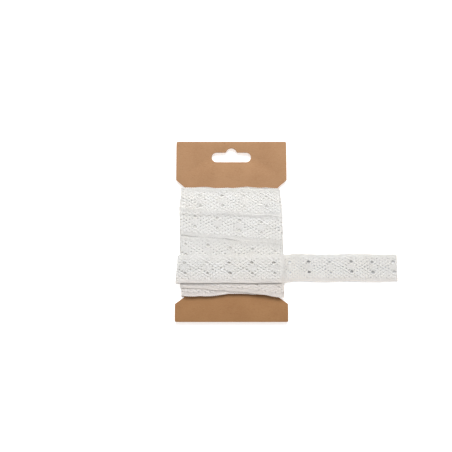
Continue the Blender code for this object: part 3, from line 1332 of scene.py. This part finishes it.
@dataclass(frozen=True)
class LooseTail:
    """The end of the lace: a sheet that crosses the front and lies out on the surface."""

    form: WoundForm = WoundForm()
    path: TailPath = TailPath()
    pattern: LacePattern = LacePattern()
    fray: float = 0.7
    sides: int = 6

    def build(self, finish: bpy.types.Material) -> list[bpy.types.Object]:
        """Args:
            finish: The yarn's material.

        Returns:
            The tail's ground and its headings.
        """
        start = self.form.station_at(self.form.last_run)
        length = self.path.length_at(self.path.end_x)
        yarns = self.pattern.work(start, start + length, self.fray)
        placing = self.path.place(start)
        ground = [yarn for yarn in yarns if yarn.kind not in HEADING_KINDS]
        edges = [yarn for yarn in yarns if yarn.kind in HEADING_KINDS]
        tail = make_yarn_object("loose_tail", ground, placing, self.sides)
        headings = make_yarn_object("loose_tail_headings", edges, placing, self.sides)
        for piece in (tail, headings):
            dress(piece, finish, "lace_tail")
        return [tail, headings]


@dataclass(frozen=True)
class WoundCore:
    """The inner turns of the lace, as one shell round the card's neck under the rows that show."""

    form: WoundForm = WoundForm()
    foot_y: float = -50.6
    head_y: float = 33.2
    round_steps: int = 170
    up_steps: int = 70
    shell: float = 0.2
    sink: float = 0.06
    edge_wave: float = 0.3
    edge_waves: int = 5

    def build(self, finish: bpy.types.Material) -> bpy.types.Object:
        """Make the shell: a flat grid, laid round the card, closed and given its thickness.

        Args:
            finish: The inner lace's material.

        Returns:
            The core.
        """
        deselect_all()
        bpy.ops.mesh.primitive_grid_add(x_subdivisions=self.round_steps, y_subdivisions=self.up_steps,
                                        size=1.0)
        core = bpy.context.object
        core.name = core.data.name = "inner_turns"
        flat = np.empty(len(core.data.vertices) * 3)
        core.data.vertices.foreach_get("co", flat)
        flat = flat.reshape(-1, 3) + 0.5
        girth = flat[:, 0] * self.form.loop
        foot = self.foot_y + self.form.foot_arch(girth)
        wave = np.sin(girth * 2 * math.pi * self.edge_waves / self.form.loop)
        head = self.head_y + self.edge_wave * wave
        y = foot + flat[:, 1] * (head - foot)
        height = np.maximum(self.form.base_height(y) - self.sink, 0.0)
        points = self.form.on_loop(girth, y, height) * MM
        core.data.vertices.foreach_set("co", points.astype(np.float32).ravel())
        weld(0.00001)
        thickness = core.modifiers.new("thickness", "SOLIDIFY")
        thickness.thickness = self.shell * MM
        thickness.offset = -1.0
        bpy.ops.object.modifier_apply(modifier=thickness.name)
        core.data.shade_smooth()
        dress(core, finish, "lace_winding")
        return core


@dataclass(frozen=True)
class CardBobbin:
    """The die-cut card: wide header and foot, narrower neck between chamfers, and a hang slot."""

    width: float = 90.0
    height: float = 147.0
    thickness: float = 1.0
    corner: float = 1.2
    neck_width: float = 76.0
    neck_top: float = 35.3
    neck_bottom: float = -54.2
    header_edge: float = 41.3
    foot_edge: float = -59.2
    slot_y: float = 60.3
    slot_length: float = 32.0
    slot_height: float = 8.0
    peak_radius: float = 4.4
    peak_rise: float = -0.8
    fillet: float = 1.2
    middle_z: float = 3.3
    pressed_edge: float = 0.1
    slot_steps: int = 24
    peak_steps: int = 12
    fillet_steps: int = 8
    corner_steps: int = 6
    smooth_angle: float = math.radians(50)

    def build(self, finish: bpy.types.Material) -> bpy.types.Object:
        """Make the card from its cut outline, with slightly pressed edges.

        Args:
            finish: The board's material.

        Returns:
            The card.
        """
        curve = bpy.data.curves.new("card_bobbin", "CURVE")
        curve.dimensions = "2D"
        curve.fill_mode = "BOTH"
        curve.extrude = (self.thickness / 2 - self.pressed_edge) * MM
        curve.bevel_depth = self.pressed_edge * MM
        curve.bevel_resolution = 2
        curve.offset = -self.pressed_edge * MM
        for outline in (self.outline(), self.slot_outline()):
            spline = curve.splines.new("POLY")
            spline.points.add(len(outline) - 1)
            for point, (x, y) in zip(spline.points, outline):
                point.co = (x * MM, y * MM, 0.0, 1.0)
            spline.use_cyclic_u = True
        card = bpy.data.objects.new("card_bobbin", curve)
        bpy.context.scene.collection.objects.link(card)
        deselect_all()
        card.select_set(True)
        bpy.context.view_layer.objects.active = card
        card.location.z = self.middle_z * MM
        bpy.ops.object.convert(target="MESH")
        bpy.ops.object.transform_apply(location=True, rotation=False, scale=False)
        weld(0.000002)
        bpy.ops.object.shade_smooth_by_angle(angle=self.smooth_angle)
        dress(card, finish, "card")
        return card

    def arc(self, centre: tuple[float, float], radius: float, start: float, end: float,
            steps: int) -> list[tuple[float, float]]:
        """Points along an arc, both ends included.

        Args:
            centre: The arc's centre.
            radius: Its radius.
            start: Its first angle, in degrees.
            end: Its last angle, in degrees.
            steps: How many parts it has.

        Returns:
            The points, in order.
        """
        angles = np.radians(np.linspace(start, end, steps + 1))
        return [(centre[0] + radius * math.cos(a), centre[1] + radius * math.sin(a)) for a in angles]

    def mirrored(self, points: list[tuple[float, float]]) -> list[tuple[float, float]]:
        """The same points on the card's other side, in reverse order."""
        return [(-x, y) for x, y in reversed(points)]

    def outline(self) -> list[tuple[float, float]]:
        """The card's cut outline."""
        side, top = self.width / 2, self.height / 2
        right = self.arc((side - self.corner, self.corner - top), self.corner, -90, 0, self.corner_steps)
        right += [
            (side, self.foot_edge),
            (self.neck_width / 2, self.neck_bottom),
            (self.neck_width / 2, self.neck_top),
            (side, self.header_edge),
        ]
        right += self.arc((side - self.corner, top - self.corner), self.corner, 0, 90, self.corner_steps)
        return right + self.mirrored(right)

    def slot_outline(self) -> list[tuple[float, float]]:
        """The hang slot: round ends, and a rounded peak over its middle for the peg."""
        end_radius = self.slot_height / 2
        bar_top = self.slot_y + end_radius
        climb = self.fillet - self.peak_rise
        fillet_x = math.sqrt((self.peak_radius + self.fillet) ** 2 - climb**2)
        lean = math.degrees(math.atan2(climb, fillet_x))
        end_x = self.slot_length / 2 - end_radius
        right = self.arc((end_x, self.slot_y), end_radius, -90, 90, self.slot_steps)
        fillet_middle = (fillet_x, bar_top + self.fillet)
        right += self.arc(fillet_middle, self.fillet, -90, lean - 180, self.fillet_steps)
        peak_middle = (0.0, bar_top + self.peak_rise)
        right += self.arc(peak_middle, self.peak_radius, lean, 90, self.peak_steps)[1:-1]
        peak = [(0.0, bar_top + self.peak_rise + self.peak_radius)]
        return right + peak + self.mirrored(right)


@dataclass(frozen=True)
class Studio:
    """The pale floor, soft light from the header's side, and the camera over the card."""

    floor_size: float = 3.0
    target: tuple[float, float, float] = (-4.36, 3.45, 3.8)
    tilt: float = math.radians(9.0)
    distance: float = 663.6
    focal_pixels: float = 822.8
    image_pixels: float = 452.0
    sensor: float = 36.0
    horizon: float = 0.315
    zenith: float = 0.63
    key_power: float = 7.2
    key_size: float = 0.52
    key_place: tuple[float, float, float] = (0.01, 0.53, 0.62)

    def build(self, finish: bpy.types.Material) -> None:
        """Set the floor, lights and camera.

        Args:
            finish: The floor's material.
        """
        deselect_all()
        bpy.ops.mesh.primitive_plane_add(size=self.floor_size)
        floor = bpy.context.object
        floor.name = "studio_floor"
        floor.data.materials.append(finish)
        self.light()
        self.camera()

    def light(self) -> None:
        """Add the even white room and one large soft light."""
        world = bpy.data.worlds.new("white_room")
        world.use_nodes = True
        nodes, links = world.node_tree.nodes, world.node_tree.links
        where = nodes.new("ShaderNodeTexCoord")
        parts = nodes.new("ShaderNodeSeparateXYZ")
        rise = nodes.new("ShaderNodeMapRange")
        rise.inputs["To Min"].default_value = self.horizon
        rise.inputs["To Max"].default_value = self.zenith
        links.new(where.outputs["Generated"], parts.inputs[0])
        links.new(parts.outputs["Z"], rise.inputs["Value"])
        links.new(rise.outputs["Result"], nodes["Background"].inputs["Strength"])
        nodes["Background"].inputs["Color"].default_value = (1.0, 1.0, 1.0, 1.0)
        bpy.context.scene.world = world
        data = bpy.data.lights.new("soft_key", "AREA")
        data.shape = "DISK"
        data.size = self.key_size
        data.energy = self.key_power
        key = bpy.data.objects.new("soft_key", data)
        key.location = self.key_place
        key.rotation_euler = aim(np.array(self.key_place), np.zeros(3))
        bpy.context.scene.collection.objects.link(key)

    def camera(self) -> None:
        """Add the camera that looks down at the card from its foot's side."""
        data = bpy.data.cameras.new("camera")
        data.sensor_width = self.sensor
        data.lens = self.focal_pixels / self.image_pixels * self.sensor
        camera = bpy.data.objects.new("camera", data)
        x, y, z = self.target
        camera.location = (
            x * MM,
            (y - self.distance * math.sin(self.tilt)) * MM,
            (z + self.distance * math.cos(self.tilt)) * MM,
        )
        camera.rotation_euler = (self.tilt, 0.0, 0.0)
        bpy.context.scene.collection.objects.link(camera)
        bpy.context.scene.camera = camera


def aim(place: np.ndarray, target: np.ndarray) -> tuple[float, float, float]:
    """The turn that points a light's beam from a place to a target."""
    way = target - place
    level = math.hypot(way[0], way[1])
    return (math.atan2(level, -way[2]), 0.0, math.atan2(-way[0], way[1]))


def report(pieces: list[bpy.types.Object]) -> None:
    """Log each piece's triangles."""
    for piece in pieces:
        piece.data.calc_loop_triangles()
        log.info("%s: %d triangles", piece.name, len(piece.data.loop_triangles))


def main() -> None:
    """Build the card, the wound lace, its loose tail and the studio."""
    logging.basicConfig(level=logging.INFO, format="%(name)s: %(message)s")
    cotton = CottonFinish().material()
    pieces = [CardBobbin().build(KraftFinish().material())]
    pieces.append(WoundCore().build(InnerLaceFinish().material()))
    pieces += WoundTurns().build(cotton)
    pieces += LooseTail().build(cotton)
    report(pieces)
    Studio().build(FloorFinish().material())
    bpy.context.scene.view_settings.view_transform = "Standard"


if __name__ == "__main__":
    main()
